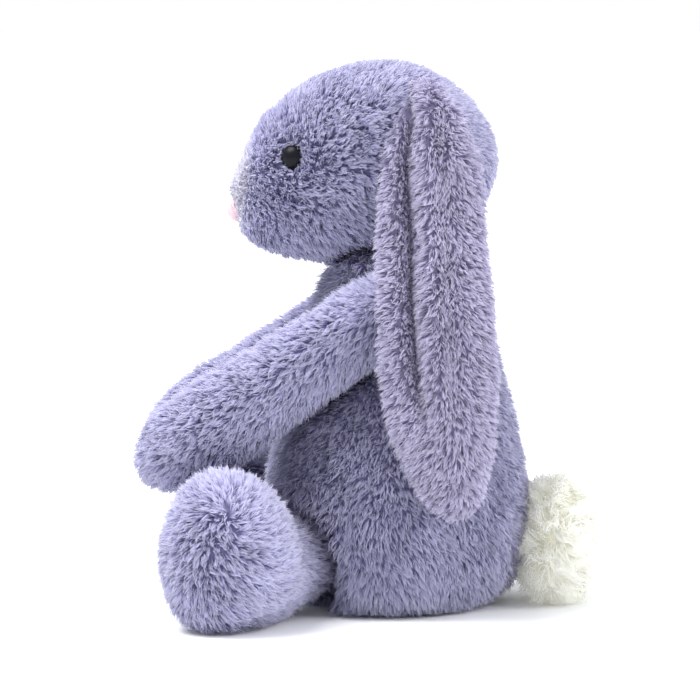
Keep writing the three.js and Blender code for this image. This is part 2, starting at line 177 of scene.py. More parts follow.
def fur_colour(material, root, middle, tip, dull, pale):
    """The colour along a fibre, multiplied by its tuft's tone, or pale where the tone says so.

    The map OFBake holds the tuft's tone across, painted light and shade included, and the place
    along the fibre up."""
    place = add_node(material, "ShaderNodeUVMap", uv_map="OFBake")
    parts = add_node(material, "ShaderNodeSeparateXYZ", {0: place.outputs["UV"]})
    along = ramp_node(material, parts.outputs["Y"], [(0.0, root), (1.0, tip), (0.45, middle)])
    # the tone, which carries random tone and the painted light and shade, darkens the colour
    tone_with_painted_light = ramp_node(material, parts.outputs["X"], [(0.0, dull), (TOP_TONE, (1, 1, 1))])
    product = add_node(material, "ShaderNodeMix", {"Factor": 1.0, "A": along, "B": tone_with_painted_light},
                       data_type="RGBA", blend_type="MULTIPLY")
    share = add_node(material, "ShaderNodeMapRange",
                     {"From Min": TOP_TONE, "Value": parts.outputs["X"]})
    coloured = add_node(material, "ShaderNodeMix", {
        "Factor": share.outputs["Result"], "A": product.outputs["Result"],
        "B": (*pale, 1)}, data_type="RGBA")
    return coloured.outputs["Result"]


def fur_material(name, colours, dull, glow, painted_glow=0.0):
    """Pile that lets part of the light through. colours are its root's, middle's and tip's.

    glow is the share of light let through, and the emission strength gives the pile a faint painted
    glow that lightens it."""
    root, middle, tip = colours
    material = new_material(name, middle, roughness=0.75, Specular_IOR_Level=0.25,
                            Sheen_Weight=0.15, Sheen_Roughness=0.5)
    tree = material.node_tree
    shader = tree.nodes["Principled BSDF"]
    # painted light: an even faint glow that lightens the pile
    if painted_glow:
        feed(tree, shader, {"Emission Color": (1.0, 1.0, 0.96, 1), "Emission Strength": painted_glow})
    colour = fur_colour(material, root, middle, tip, dull, PALE)
    feed(tree, shader, {"Base Color": colour})
    through = add_node(material, "ShaderNodeBsdfTranslucent", {"Color": colour})
    both = add_node(material, "ShaderNodeMixShader", {
        "Fac": glow, 1: shader.outputs[0], 2: through.outputs[0]})
    feed(tree, tree.nodes["Material Output"], {"Surface": both.outputs[0]})
    return material


PALE = srgb(246, 245, 250)
LILAC = fur_material(
    "lilac_pile", (srgb(146, 142, 186), srgb(200, 198, 234), srgb(238, 237, 254)),
    dull=(0.60, 0.60, 0.65), glow=0.42)
LINING = fur_material(
    "lining_pile", (srgb(146, 140, 176), srgb(202, 196, 226), srgb(238, 235, 251)),
    dull=(0.60, 0.59, 0.64), glow=0.42)
# The cream pile is lightened by a faint painted glow.
CREAM = fur_material(
    "cream_pile", (srgb(253, 252, 243), srgb(255, 255, 249), srgb(255, 255, 253)),
    dull=(0.98, 0.98, 0.97), glow=0.5, painted_glow=0.16)

# ---------------------------------------------------------------- meshes as arrays


def unit(vectors):
    length = np.linalg.norm(vectors, axis=-1, keepdims=True)
    return vectors / np.maximum(length, 1e-12)


def values_of(items, attribute, width, kind=np.int32):
    values = np.empty(len(items) * width, kind)
    items.foreach_get(attribute, values)
    return values.reshape(-1, width)


def square_to(axes, vectors):
    """The vectors without their part along the axes, at unit length."""
    return unit(vectors - (vectors * axes).sum(1, keepdims=True) * axes)


def points_of(mesh):
    return values_of(mesh.vertices, "co", 3, np.float32).astype(float)


def triangles_of(mesh):
    mesh.calc_loop_triangles()
    return values_of(mesh.loop_triangles, "vertices", 3)


def edges_of(mesh):
    return values_of(mesh.edges, "vertices", 2)


def corners_of(node):
    """The lowest and the highest corner of a CAD node's box."""
    return [np.array(corner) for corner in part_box(node)]


def normals_of(points, triangles):
    corner = points[triangles]
    face = np.cross(corner[:, 1] - corner[:, 0], corner[:, 2] - corner[:, 0])
    total = np.zeros_like(points)
    for axis in range(3):
        for k in range(3):
            total[:, axis] += np.bincount(triangles[:, k], face[:, axis], len(points))
    return unit(total)


def relaxed(points, edges, times):
    """Each point moved half of the way to the middle of its neighbours."""
    a, b = edges.T
    count = np.bincount(a, minlength=len(points)) + np.bincount(b, minlength=len(points))
    for _ in range(times):
        total = np.empty_like(points)
        for axis in range(points.shape[1]):
            total[:, axis] = (np.bincount(a, points[b, axis], len(points))
                              + np.bincount(b, points[a, axis], len(points)))
        points = points + 0.5 * (total / np.maximum(count, 1)[:, None] - points)
    return points


WAVES = 5


def ripple(points, wavelength, seed):
    """A smooth random value from about -1 to 1 at each point, the sum of a few waves."""
    rng = np.random.default_rng(seed)
    total = np.zeros(len(points))
    for _ in range(WAVES):
        direction = unit(rng.normal(size=3)) * 2 * math.pi / (wavelength * rng.uniform(0.7, 1.4))
        total += np.sin(points @ direction + rng.uniform(0, 2 * math.pi))
    return total / math.sqrt(WAVES / 2) * 0.7


def new_object(name, data):
    obj = bpy.data.objects.new(name, data)
    bpy.context.scene.collection.objects.link(obj)
    return obj


def placed_piece(name, mesh, body, nodes, material):
    obj = new_object(name, mesh)
    mesh.materials.append(material)
    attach(obj, body)
    if nodes:
        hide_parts(*nodes)
    return obj


def tree_of(mesh):
    """The mesh in a form that finds its nearest point to any place."""
    return BVHTree.FromPolygons(points_of(mesh).tolist(), triangles_of(mesh).tolist())


def joined(name, parts):
    """A new mesh of several parts, each (points, faces)."""
    points, faces, start = [], [], 0
    for part_points, part_faces in parts:
        points.append(part_points)
        faces += [tuple(index + start for index in face) for face in part_faces]
        start += len(part_points)
    mesh = bpy.data.meshes.new(name)
    mesh.from_pydata(np.vstack(points).tolist(), [], faces)
    return mesh


def joined_nodes(names):
    """A new mesh that holds these CAD nodes' solids."""
    meshes = [frame["nodes"][name].data for name in names]
    return joined("joined", [(points_of(mesh), triangles_of(mesh).tolist()) for mesh in meshes])


def evaluated(obj):
    """The object's mesh with its modifiers applied, as a new mesh."""
    graph = bpy.context.evaluated_depsgraph_get()
    return bpy.data.meshes.new_from_object(obj.evaluated_get(graph), depsgraph=graph)


def remeshed(mesh, voxel):
    obj = new_object("remesh", mesh)
    modifier = obj.modifiers.new("remesh", "REMESH")
    modifier.mode = "VOXEL"
    modifier.voxel_size = voxel
    result = evaluated(obj)
    bpy.data.objects.remove(obj)
    return result


def write(items, attribute, values, kind=np.float32):
    items.foreach_set(attribute, values.astype(kind).ravel())


def set_points(mesh, points):
    write(mesh.vertices, "co", points)
    mesh.update()


# ---------------------------------------------------------------- the cloth under the pile


SINK_STEPS = 3  # sinking in steps keeps the mesh from crossing itself
FIT_LIMIT = 3 * MM  # the most that fitting moves a point at once


def outside_of(nodes, voxel=2.5 * MM):
    """The common outside of these CAD solids, without the spaces inside them."""
    return remeshed(joined_nodes(nodes), voxel)


def cloth_form(outside, sink, relax=6):
    """The outside, smoothed and sunk by the height of the pile.

    sink gives that height, in metres, at each point."""
    mesh = outside.copy()
    points = relaxed(points_of(mesh), edges_of(mesh), relax)
    depth = sink(points)[:, None]
    for _ in range(SINK_STEPS):
        points = points - normals_of(points, triangles_of(mesh)) * depth / SINK_STEPS
        points = relaxed(points, edges_of(mesh), 2)
    set_points(mesh, points)
    return mesh


SIM_VOXEL = 4.5 * MM
SIM_FRAMES = 20
SIM_PRESSURE = 4


def swollen(mesh, seam_share, cap):
    """The cloth filled by its stuffing. seam_share is 1 where a point is held by a seam."""
    mesh = remeshed(mesh, SIM_VOXEL)
    obj = new_object("swelling", mesh)
    before = points_of(mesh)
    held = obj.vertex_groups.new(name="seams")
    for index, share in enumerate(seam_share(before)):
        if share > 0.01:
            held.add([index], float(share), "REPLACE")
    cloth = obj.modifiers.new("cloth", "CLOTH")
    settings = cloth.settings
    settings.quality = 4
    settings.use_pressure = True
    settings.uniform_pressure_force = SIM_PRESSURE
    settings.vertex_group_mass = "seams"
    settings.effector_weights.gravity = 0
    for number in range(1, SIM_FRAMES + 1):
        bpy.context.scene.frame_set(number)
    moved = evaluated(obj)
    shift = points_of(moved) - before
    obj.modifiers.clear()
    bpy.context.scene.frame_set(1)
    length = np.linalg.norm(shift, axis=1, keepdims=True)
    set_points(mesh, before + shift * np.minimum(1, cap / np.maximum(length, 1e-9)))
    subdivide = obj.modifiers.new("subdivide", "SUBSURF")
    subdivide.levels = 1
    result = evaluated(obj)
    bpy.data.objects.remove(obj)
    return result


def fitted(mesh, outside, sink):
    """The cloth moved back to a pile's height below the outside, where smoothing took it off."""
    tree = tree_of(outside)
    points, triangles, edges = points_of(mesh), triangles_of(mesh), edges_of(mesh)
    for share in (1.0, 0.8):
        depth = np.array([tree.find_nearest(p)[3] for p in points.tolist()])
        excess = relaxed((depth - sink(points))[:, None], edges, 5)
        move = np.clip(excess * share, -FIT_LIMIT, FIT_LIMIT)
        points = points + normals_of(points, triangles) * move
    set_points(mesh, relaxed(points, edges, 1))
    return mesh


def padded_cloth(nodes, sink, seams, cap):
    """The cloth of one stuffed part: sunk, swollen by its stuffing, then fitted to its pile."""
    outside = outside_of(nodes)
    mesh = swollen(cloth_form(outside, sink), seams, cap)
    return fitted(mesh, outside, sink)


def nearest_panel(points, nodes):
    """For each point, which of the CAD nodes it lies nearest."""
    trees = [tree_of(frame["nodes"][name].data) for name in nodes]
    distance = np.array([[tree.find_nearest(p)[3] for p in points.tolist()] for tree in trees])
    return distance.argmin(0)


# ---------------------------------------------------------------- pile

# A fibre's shape: stations from its root to its tip, and its width at all of them but the tip.
SHORT = (np.array([0.0, 0.55, 1.0]), np.array([0.8, 1.0]))
LONG = (np.array([0.0, 0.36, 0.7, 1.0]), np.array([0.8, 1.0, 0.8]))


class Coat:
    """How the pile of one part grows. Lengths in metres, angles in degrees."""

    def __init__(self, nap, **settings):
        self.nap = nap
        self.length = 5.4 * MM
        self.spacing = 1.3 * MM  # between tufts
        self.per_tuft = 9
        self.width = 0.36 * MM
        self.spread = 0.4  # how far apart a tuft's tips are, as a share of its roots
        self.shape = SHORT
        self.lean = 38
        self.frizz = 0.10  # how far a fibre bows off its line, of its length
        self.swirl = 14  # how far the nap wanders
        self.trim = None  # share of the full length at each point
        self.bare = None  # true where nothing grows
        self.tone_with_painted_light = None  # painted light and shade, as extra tone from -1 to 1, at each point and normal
        self.pale = None  # share of the pale colour at each point
        for key, value in settings.items():
            setattr(self, key, value)


CANDIDATES = 6  # places tried for each that is kept
CELL = 1.25  # side of the cube that holds one tuft, as a share of the tufts' spacing
CELL_KEY = [1, 1009, 1009 * 1009]  # gives each cube a number of its own
CELL_SHIFT = 500  # keeps the cubes' counts above 0


def planted(points, triangles, normals, spacing, rng):
    """Places spread evenly over the triangles: position, normal and triangle of each."""
    corner = points[triangles]
    sides = corner[:, 1:] - corner[:, :1]
    area = np.linalg.norm(np.cross(sides[:, 0], sides[:, 1]), axis=1) / 2
    edge = np.cumsum(area)
    count = int(edge[-1] / spacing**2 * CANDIDATES)
    picks = np.searchsorted(edge, (np.arange(count) + rng.random(count)) / count * edge[-1])
    picks = np.minimum(picks, len(area) - 1)
    a, b = rng.random(count), rng.random(count)
    flip = a + b > 1
    a[flip], b[flip] = 1 - a[flip], 1 - b[flip]
    weight = np.stack([1 - a - b, a, b], 1)[:, :, None]
    place = (corner[picks] * weight).sum(1)
    shuffled = rng.permutation(count)
    cell = np.floor(place[shuffled] / (spacing * CELL)).astype(np.int64) + CELL_SHIFT
    _, first = np.unique(cell @ CELL_KEY, return_index=True)
    kept = np.sort(shuffled[first])
    out = unit((normals[triangles[picks[kept]]] * weight[kept]).sum(1))
    return place[kept], out, picks[kept]


MIDDLE_TONE = 0.62
PALEST_TONE = 0.98
ROOT_DEPTH = 0.4 * MM  # how far below the cloth a fibre starts
EARLY_LEAN = 0.55  # lean at the root, as a share of the tuft's
LATE_LEAN = 1.35  # and at the tip
FLATTEST = math.radians(86)
FACING_SPREAD = math.radians(38)  # how differently the fibres' flat sides face


def turned_about(vectors, axes, angles):
    """Each vector turned about its axis by its angle, in radians."""
    cos, sin = np.cos(angles)[:, None], np.sin(angles)[:, None]
    along = (vectors * axes).sum(1, keepdims=True) * axes
    return vectors * cos + np.cross(axes, vectors) * sin + along * (1 - cos)


def tuft_lines(coat, place, out, rng):
    """Each tuft's nap, side, lean in radians, length and tone."""
    count, seed = len(place), coat.seed
    nap = square_to(out, coat.nap(place))
    wander = coat.swirl * (ripple(place, 26 * MM, seed) + 0.6 * ripple(place, 9 * MM, seed + 1))
    wander += rng.normal(0, coat.swirl * 0.55, count)
    nap = turned_about(nap, out, np.radians(wander))
    side = np.cross(out, nap)
    lean = np.radians(coat.lean + rng.normal(0, 7, count) + 6 * ripple(place, 12 * MM, seed + 2))
    uneven = rng.normal(0, 0.05, count) + 0.05 * ripple(place, 15 * MM, seed + 3)
    length = coat.length * (1 + uneven)
    if coat.trim is not None:
        length = length * coat.trim(place)
    tone = MIDDLE_TONE + rng.normal(0, 0.07, count) + 0.07 * ripple(place, 11 * MM, seed + 4)
    # painted light and shade, added to each tuft's tone
    if coat.tone_with_painted_light is not None:
        tone = tone + coat.tone_with_painted_light(place, out)
    return nap, side, lean, length, tone


def fibre_paths(coat, place, out, nap, side, lean, length, rng):
    """The points along every fibre. All values but coat and rng are given fibre by fibre."""
    total = len(place)
    across = rng.normal(0, coat.spacing * 0.46, (total, 2))
    offset = nap * across[:, :1] + side * across[:, 1:]
    root = place + offset - out * ROOT_DEPTH
    reach = (length * (1 + rng.normal(0, 0.08, total)))[:, None]
    tilt = (lean + rng.normal(0, 0.10, total))[:, None]
    early = tilt * EARLY_LEAN
    late = np.minimum(tilt * LATE_LEAN, FLATTEST)
    start = out * np.cos(early) + nap * np.sin(early)
    end = out * np.cos(late) + nap * np.sin(late)
    bend = rng.normal(0, coat.frizz, (total, 1)) * side
    bend = bend + rng.normal(0, coat.frizz, (total, 1)) * out
    paths = []
    for t in coat.shape[0]:
        along = start * (t - t * t / 2) + end * (t * t / 2)
        line = root + reach * (along + bend * math.sin(math.pi * t))
        paths.append(line - offset * (1 - coat.spread) * t)
    paths = np.stack(paths, 1)
    lowest = FLOOR_CLEARANCE + rng.random((total, 1)) * 0.5 * MM
    paths[:, :, 2] = np.maximum(paths[:, :, 2], lowest)
    return paths


def grow(mesh, coat):
    """Every fibre on the cloth: its path, its side, the cloth's normal, tone and triangle."""
    rng = np.random.default_rng(coat.seed)
    points, triangles = points_of(mesh), triangles_of(mesh)
    normals = normals_of(points, triangles)
    place, out, picks = planted(points, triangles, normals, coat.spacing, rng)
    if coat.bare is not None:
        keep = ~coat.bare(place, out)
        place, out, picks = place[keep], out[keep], picks[keep]
    nap, side, lean, length, tone = tuft_lines(coat, place, out, rng)
    owner = np.repeat(np.arange(len(place)), coat.per_tuft)
    total = len(owner)
    by_fibre = (values[owner] for values in (place, out, nap, side, lean, length))
    paths = fibre_paths(coat, *by_fibre, rng)
    outward = out[owner]

    axis = unit(paths[:, -1] - paths[:, 0])
    facing = turned_about(square_to(axis, outward), axis, rng.normal(0, FACING_SPREAD, total))
    tone = np.clip(tone[owner] + rng.normal(0, 0.05, total), 0.02, TOP_TONE)
    if coat.pale is not None:
        share = coat.pale(place)[owner] * rng.uniform(0.7, 1.0, total)
        tone = np.maximum(tone, (TOP_TONE + (PALEST_TONE - TOP_TONE) * share) * (share > 0.02))
    width = coat.width * (1 + rng.normal(0, 0.2, total))
    return {"paths": paths, "across": np.cross(axis, facing), "facing": facing, "out": outward,
            "tone": tone, "width": width, "triangle": picks[owner], "shape": coat.shape}


SKIN_NORMAL_SHARE = 0.75  # of the cloth's normal in a fibre's, for even shading
UV_HALF = 0.012  # half a fibre's width in the map


def fibre_mesh(fibres, keep):
    """Points, faces, normals and map of the fibres where keep is true."""
    stations, widths = fibres["shape"]
    steps = len(widths)
    paths, across = fibres["paths"][keep], fibres["across"][keep]
    half = fibres["width"][keep][:, None, None] * widths[None, :, None] / 2
    count = len(paths)
    per = 2 * steps + 1
    points = np.empty((count, per, 3))
    points[:, 0:-1:2] = paths[:, :steps] - across[:, None] * half
    points[:, 1:-1:2] = paths[:, :steps] + across[:, None] * half
    points[:, -1] = paths[:, -1]
    share = SKIN_NORMAL_SHARE
    normal = unit(fibres["out"][keep] * share + fibres["facing"][keep] * (1 - share))
    quads = [[2 * k, 2 * k + 1, 2 * k + 3, 2 * k + 2] for k in range(steps - 1)]
    order = np.array(sum(quads, []) + [per - 3, per - 2, per - 1])
    loops = ((np.arange(count) * per)[:, None] + order).ravel()
    starts = ((np.arange(count) * len(order))[:, None] + np.arange(steps) * 4).ravel()
    shift = np.where(order % 2 == 0, -UV_HALF, UV_HALF)
    shift[-1] = 0
    height = np.append(np.repeat(stations[:-1], 2), 1.0)[order]
    tone = fibres["tone"][keep][:, None] + shift
    uv = np.stack([tone, np.broadcast_to(height, tone.shape)], -1).reshape(-1, 2)
    return points.reshape(-1, 3), loops, starts, np.repeat(normal, per, axis=0), uv


CLOTH_TONE = 0.5


def cloth_mesh(points, triangles, normals, pale):
    """The cloth itself, in the colour of the fibres' roots."""
    used, local = np.unique(triangles, return_inverse=True)
    loops = local.reshape(-1)
    starts = np.arange(len(triangles)) * 3
    corner = np.array([[-0.02, 0.12], [0.02, 0.12], [0.0, 0.16]])
    tone = np.full(len(triangles), CLOTH_TONE)
    if pale is not None:
        tone += (0.96 - CLOTH_TONE) * pale(points[triangles].mean(1))
    uv = (corner[None] + np.stack([tone, np.zeros_like(tone)], 1)[:, None]).reshape(-1, 2)
    return points[used], loops, starts, normals[used], uv


def build_mesh(name, parts):
    """One mesh of several parts, each (points, loops, face starts, normals, map)."""
    points, loops, starts, normals, maps = zip(*parts)
    shifts = np.cumsum([0] + [len(p) for p in points[:-1]])
    turns = np.cumsum([0] + [len(p) for p in loops[:-1]])
    points = np.vstack(points)
    loops = np.concatenate([p + shift for p, shift in zip(loops, shifts)])
    starts = np.concatenate([p + turn for p, turn in zip(starts, turns)])
    mesh = bpy.data.meshes.new(name)
    mesh.vertices.add(len(points))
    write(mesh.vertices, "co", points)
    mesh.loops.add(len(loops))
    write(mesh.loops, "vertex_index", loops, np.int32)
    mesh.polygons.add(len(starts))
    write(mesh.polygons, "loop_start", starts, np.int32)
    mesh.update(calc_edges=True)
    layer = mesh.uv_layers.new(name="OFBake")
    write(layer.uv, "vector", np.vstack(maps))
    layer = mesh.attributes.new("custom_normal", "FLOAT_VECTOR", "POINT")
    write(layer.data, "vector", np.vstack(normals))
    return mesh


def furred(mesh, coat, panels, body, material):
    """One furred piece for each CAD panel of a part. It replaces that panel."""
    fibres = grow(mesh, coat)
    points, triangles = points_of(mesh), triangles_of(mesh)
    normals = normals_of(points, triangles)
    panel = nearest_panel(points[triangles].mean(1), panels)
    for index, node in enumerate(panels):
        cloth = cloth_mesh(points, triangles[panel == index], normals, coat.pale)
        pile = fibre_mesh(fibres, panel[fibres["triangle"]] == index)
        coated = build_mesh(node, [cloth, pile])
        piece = placed_piece(node + "_pile", coated, body, [node], material)


# ---------------------------------------------------------------- the parts

PILE_HEIGHT = 3.9 * MM  # from the cloth to the pile's tips, here and in the next lines
ARM_PILE_HEIGHT = 3.3 * MM
EAR_PILE_HEIGHT = 2.6 * MM
TAIL_PILE_HEIGHT = 2.5 * MM
SEAM_REACH = 2.5 * MM  # how far from its line a seam still holds the cloth
TORSO_SEAM_REACH = 3.5 * MM


def centre_of(*nodes):
    low = np.min([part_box(n)[0] for n in nodes], axis=0)
    high = np.max([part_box(n)[1] for n in nodes], axis=0)
    return (low + high) / 2


def joint_place(name):
    return np.array(next(j for j in frame["joints"] if j["name"] == name)["pos_m"])


SEAT_TO_WASHER = 9.4 * MM  # from an eye's seat to the middle of its washer


def eye_seat(side):
    """Where an eye sits on the head, and the direction that it looks in."""
    middle = points_of(frame["nodes"][f"eye_{side}"].data).mean(0)
    washer = points_of(frame["nodes"][f"eye_washer_{side}"].data).mean(0)
    axis = unit(middle - washer)
    return washer + axis * SEAT_TO_WASHER, axis


def even(value):
    return lambda points: np.full(len(points), value)


def near(points, centre, radius):
    """1 at the centre, falling smoothly to 0 at the radius."""
    distance = np.linalg.norm(points - centre, axis=1) / radius
    return np.clip(1 - distance, 0, 1) ** 2 * (1 + 2 * np.clip(distance, 0, 1))


def seam_hold(distance, reach=SEAM_REACH):
    """1 where a seam holds the cloth, at that distance from its line."""
    return (np.abs(distance) < reach).astype(float)


def make_torso():
    panels = ["belly_panel", "back_panel_left", "back_panel_right"]
    seam_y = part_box("belly_panel")[1].y
    hollows = [(joint_place("neck_turn"), 22 * MM)]
    hollows += [(joint_place(f"arm_{side}_spread"), 14 * MM) for side, _ in SIDES]
    hollows += [(joint_place(f"leg_{side}_splay"), 17 * MM) for side, _ in SIDES]

    def seams(points):
        side = seam_hold(points[:, 1] - seam_y, TORSO_SEAM_REACH)
        back = seam_hold(points[:, 0], TORSO_SEAM_REACH) * (points[:, 1] > seam_y)
        floor = points[:, 2] < PILE_HEIGHT + 3 * MM
        return np.maximum(np.maximum(side, back), floor)

    def nap(points):
        outward = unit(points * [1, 1, 0] - np.array([0, centre_of("belly_panel")[1] * 0.2, 0]))
        return np.array([0, 0.12, -1.0]) + outward * 0.25

    def bare(points, normals):
        inside = np.zeros(len(points), bool)
        for centre, radius in hollows:
            towards = centre - points
            distance = np.linalg.norm(towards, axis=1)
            facing = (towards * normals).sum(1) / np.maximum(distance, 1e-9)
            inside |= (distance < radius + 8 * MM) & (facing > 0.35)
        return inside

    def pile_height(points):
        return PILE_HEIGHT - 2.2 * MM * near_joints(points)

    def near_joints(points):
        places = hollows + [(joint_place("tail_wag"), 7 * MM)]
        shares = [near(points, centre, 1.7 * radius + 8 * MM) for centre, radius in places]
        return np.max(shares, axis=0)

    def trim(points):
        neck = np.array([0, 0, 8 * MM]) + hollows[0][0]
        return 1 + 0.7 * near_joints(points) + 1.3 * near(points, neck, 32 * MM)

    # Painted shade: the torso's pile a tone darker all over, for the shade that the arms and ears
    # cast on it.
    def tone_with_painted_light(points, normals):
        return np.full(len(points), -0.3)

    mesh = padded_cloth(panels + ["body_stuffing"], pile_height, seams, cap=3 * MM)
    coat = Coat(nap, seed=11, bare=bare, trim=trim, tone_with_painted_light=tone_with_painted_light, per_tuft=7)
    furred(mesh, coat, panels, "torso", LILAC)


def make_head():
    panels = ["head_gusset", "head_side_left", "head_side_right"]
    nose = centre_of("nose")
    eyes = [eye_seat(side)[0] for side, _ in SIDES]
    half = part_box("head_gusset")[1].x
    crown_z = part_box("head_gusset")[1].z
    start = nose + np.array([0, 2, 4]) * MM
    low, high = corners_of("nose")
    nose_reach = (high - low) / 2 + np.array([0.2, 5, 0.2]) * MM

    def pile_height(points):
        return PILE_HEIGHT - 1.7 * MM * near(points, nose, 34 * MM)

    def seams(points):
        return seam_hold(np.abs(points[:, 0]) - half)

    def nap(points):
        away = unit(points - start)
        back = np.clip((points[:, 1] - 5 * MM) / (40 * MM), 0, 1)[:, None]
        return away + np.array([0, 0, -1.3]) * back + np.array([0, 0, -0.25])

    def trim(points):
        crown = np.clip((points[:, 2] - crown_z + 16 * MM) / (16 * MM), 0, 1)
        share = 1 - 0.45 * near(points, nose, 36 * MM) - 0.22 * crown
        for eye in eyes:
            share = share * (1 - 0.2 * near(points, eye, 11 * MM))
        return share

    def bare(points, normals):
        hidden = np.linalg.norm((points - nose) / nose_reach, axis=1) < 1
        for eye in eyes:
            hidden |= np.linalg.norm(points - eye, axis=1) < 3.9 * MM
        return hidden | (points[:, 2] < joint_place("neck_turn")[2])

    def pale(points):
        share = near(points, nose + np.array([0, 0, 8]) * MM, 27 * MM)
        return np.clip(share * 2.3 - 0.5, 0, 1)

    # Painted shadow: the pile darker round each sunken eye.
    def tone_with_painted_light(points, normals):
        return -0.6 * np.max([near(points, eye, 8 * MM) for eye in eyes], axis=0)

    mesh = padded_cloth(panels + ["head_stuffing"], pile_height, seams, cap=2.5 * MM)
    coat = Coat(nap, seed=22, trim=trim, bare=bare, pale=pale, tone_with_painted_light=tone_with_painted_light, per_tuft=10)
    furred(mesh, coat, panels, "head", LILAC)


def make_arm(side, sign):
    panels = [f"arm_{side}_outer", f"arm_{side}_inner"]
    shoulder = joint_place(f"arm_{side}_spread")
    axis = unit(centre_of(*panels) - shoulder)

    def seams(points):
        offset = points - shoulder
        across = unit(np.cross(axis, [0, 0, 1.0]))
        return seam_hold(offset @ across) * (offset @ axis > 8 * MM)

    def nap(points):
        return np.broadcast_to(axis, points.shape) + np.array([0, 0, -0.22])

    # Painted light: the pile lighter where it faces up, towards the lamp above.
    def tone_with_painted_light(points, normals):
        return 0.13 * np.clip(normals[:, 2], 0, 1)

    nodes = panels + [f"arm_{side}_stuffing"]
    mesh = padded_cloth(nodes, even(ARM_PILE_HEIGHT), seams, cap=2.5 * MM)
    coat = Coat(nap, seed=33 + sign, tone_with_painted_light=tone_with_painted_light)
    furred(mesh, coat, panels, f"arm_{side}", LILAC)


def make_leg(side, sign):
    panels = [f"leg_{side}_outer", f"leg_{side}_inner"]
    hip = joint_place(f"leg_{side}_splay")
    middle = centre_of(*panels)
    toe = unit((middle - hip) * [1, 1, 0])
    across = np.cross(toe, [0, 0, 1.0])
    whorl = hip + toe * 54 * MM + np.array([sign * 4, 3, 17]) * MM

    def seams(points):
        return seam_hold((points - hip) @ across)

    def nap(points):
        """Outward from the whorl at the foot's end, and along the leg behind it."""
        offset = points - whorl
        spiral = np.cross(toe, offset) * 0.7
        pull = np.clip(np.linalg.norm(offset, axis=1, keepdims=True) / (22 * MM), 0, 1)
        return unit(offset + spiral) * pull + np.array([0, -0.4, -0.8]) * (1 - pull) - toe * 0.1

    def pile_height(points):
        return PILE_HEIGHT - 2.2 * MM * near(points, hip, 34 * MM)

    def tone_with_painted_light(points, normals):
        """Painted shade: darker towards the hip, where the leg meets the torso."""
        return -0.35 * near(points, hip, 52 * MM)

    mesh = padded_cloth(panels + [f"leg_{side}_stuffing"], pile_height, seams, cap=2.5 * MM)
    coat = Coat(nap, seed=55 + sign, swirl=18, tone_with_painted_light=tone_with_painted_light)
    furred(mesh, coat, panels, f"leg_{side}", LILAC)


EAR_VOXEL = 1.6 * MM
FOLD_Z = np.array([70, 86, 94, 113, 136, 164, 175]) * MM  # the fold's line down the ear, from below
FOLD_Y = np.array([22, 19, 18.3, 17.0, 16.5, 15.0, 17.0]) * MM
PARTING_Z = np.array([35, 92, 113, 136, 175]) * MM  # the line from which the nap runs to both edges
PARTING_Y = np.array([34.8, 29.6, 28.5, 27.0, 25.8]) * MM
FOLD_DEPTH = 5.0 * MM
DIMPLE_DEPTH = 2.2 * MM


def beside(points, heights, places):
    """How far behind a line down the ear each point lies."""
    return points[:, 1] - np.interp(points[:, 2], heights, places)


def bell(distance, width):
    return np.exp(-(distance / width) ** 2)


def fold_share(points):
    """1 along the ear's folded upper part, falling to 0 where its flat lower lobe starts."""
    return np.clip((points[:, 2] - 72 * MM) / (16 * MM), 0, 1)


def folded(mesh, sign):
    """The ear's cloth with its long fold and the dimple behind it pressed in from outside."""
    points = points_of(mesh)
    facing = np.clip(normals_of(points, triangles_of(mesh))[:, 0] * sign * 1.6, 0, 1)
    fold = beside(points, FOLD_Z, FOLD_Y)
    depth = FOLD_DEPTH * bell(fold, 2.6 * MM) - 1.0 * MM * bell(fold - 6 * MM, 3 * MM)
    depth += DIMPLE_DEPTH * bell(beside(points, PARTING_Z, PARTING_Y), 3 * MM)
    points[:, 0] -= sign * depth * facing * fold_share(points)
    set_points(mesh, relaxed(points, edges_of(mesh), 1))
    return mesh


def make_ear(side, sign):
    panels = [f"ear_{side}_outer", f"ear_{side}_lining"]

    def nap(points):
        spread = np.tanh(beside(points, PARTING_Z, PARTING_Y) / (6 * MM))
        return np.stack([np.zeros(len(points)), 1.2 * spread, np.full(len(points), -1.0)], 1)

    def trim(points):
        return 1 - 0.45 * bell(beside(points, FOLD_Z, FOLD_Y), 2.2 * MM) * fold_share(points)

    # Painted light and shade: the pile lighter along the ear's edges, and darker on the outer side
    # of its fold.
    def tone_with_painted_light(points, normals):
        fold = bell(beside(points, FOLD_Z, FOLD_Y), 2.2 * MM) * fold_share(points)
        edge = 1 - np.clip(np.abs(normals[:, 0]) / 0.75, 0, 1)
        return 0.35 * edge - 0.7 * fold * (normals[:, 0] * sign > 0)

    outside = outside_of(panels, EAR_VOXEL)
    form = cloth_form(outside, even(EAR_PILE_HEIGHT), relax=4)
    mesh = folded(fitted(form, outside, even(EAR_PILE_HEIGHT)), sign)
    coat = Coat(nap, seed=77 + sign, length=4.6 * MM, lean=48, spacing=1.2 * MM, width=0.32 * MM,
                per_tuft=8, trim=trim, tone_with_painted_light=tone_with_painted_light, swirl=9)
    furred(mesh, coat, panels, f"ear_{side}", LINING)


def make_tail():
    panels = ["tail_cover"]
    root = joint_place("tail_wag")

    def nap(points):
        return points - root + np.array([0, 0, -4 * MM])

    def trim(points):
        """Longer towards the body, to close round the root."""
        return 1 + 0.9 * near(points, root, 28 * MM)

    nodes = panels + ["tail_stuffing"]
    mesh = padded_cloth(nodes, even(TAIL_PILE_HEIGHT), even(0.0), cap=1.5 * MM)
    coat = Coat(nap, seed=99, length=8.0 * MM, lean=48, spacing=2.4 * MM, per_tuft=34,
                width=0.42 * MM, frizz=0.16, spread=0.7, swirl=70, shape=LONG, trim=trim)
    furred(mesh, coat, panels, "tail", CREAM)


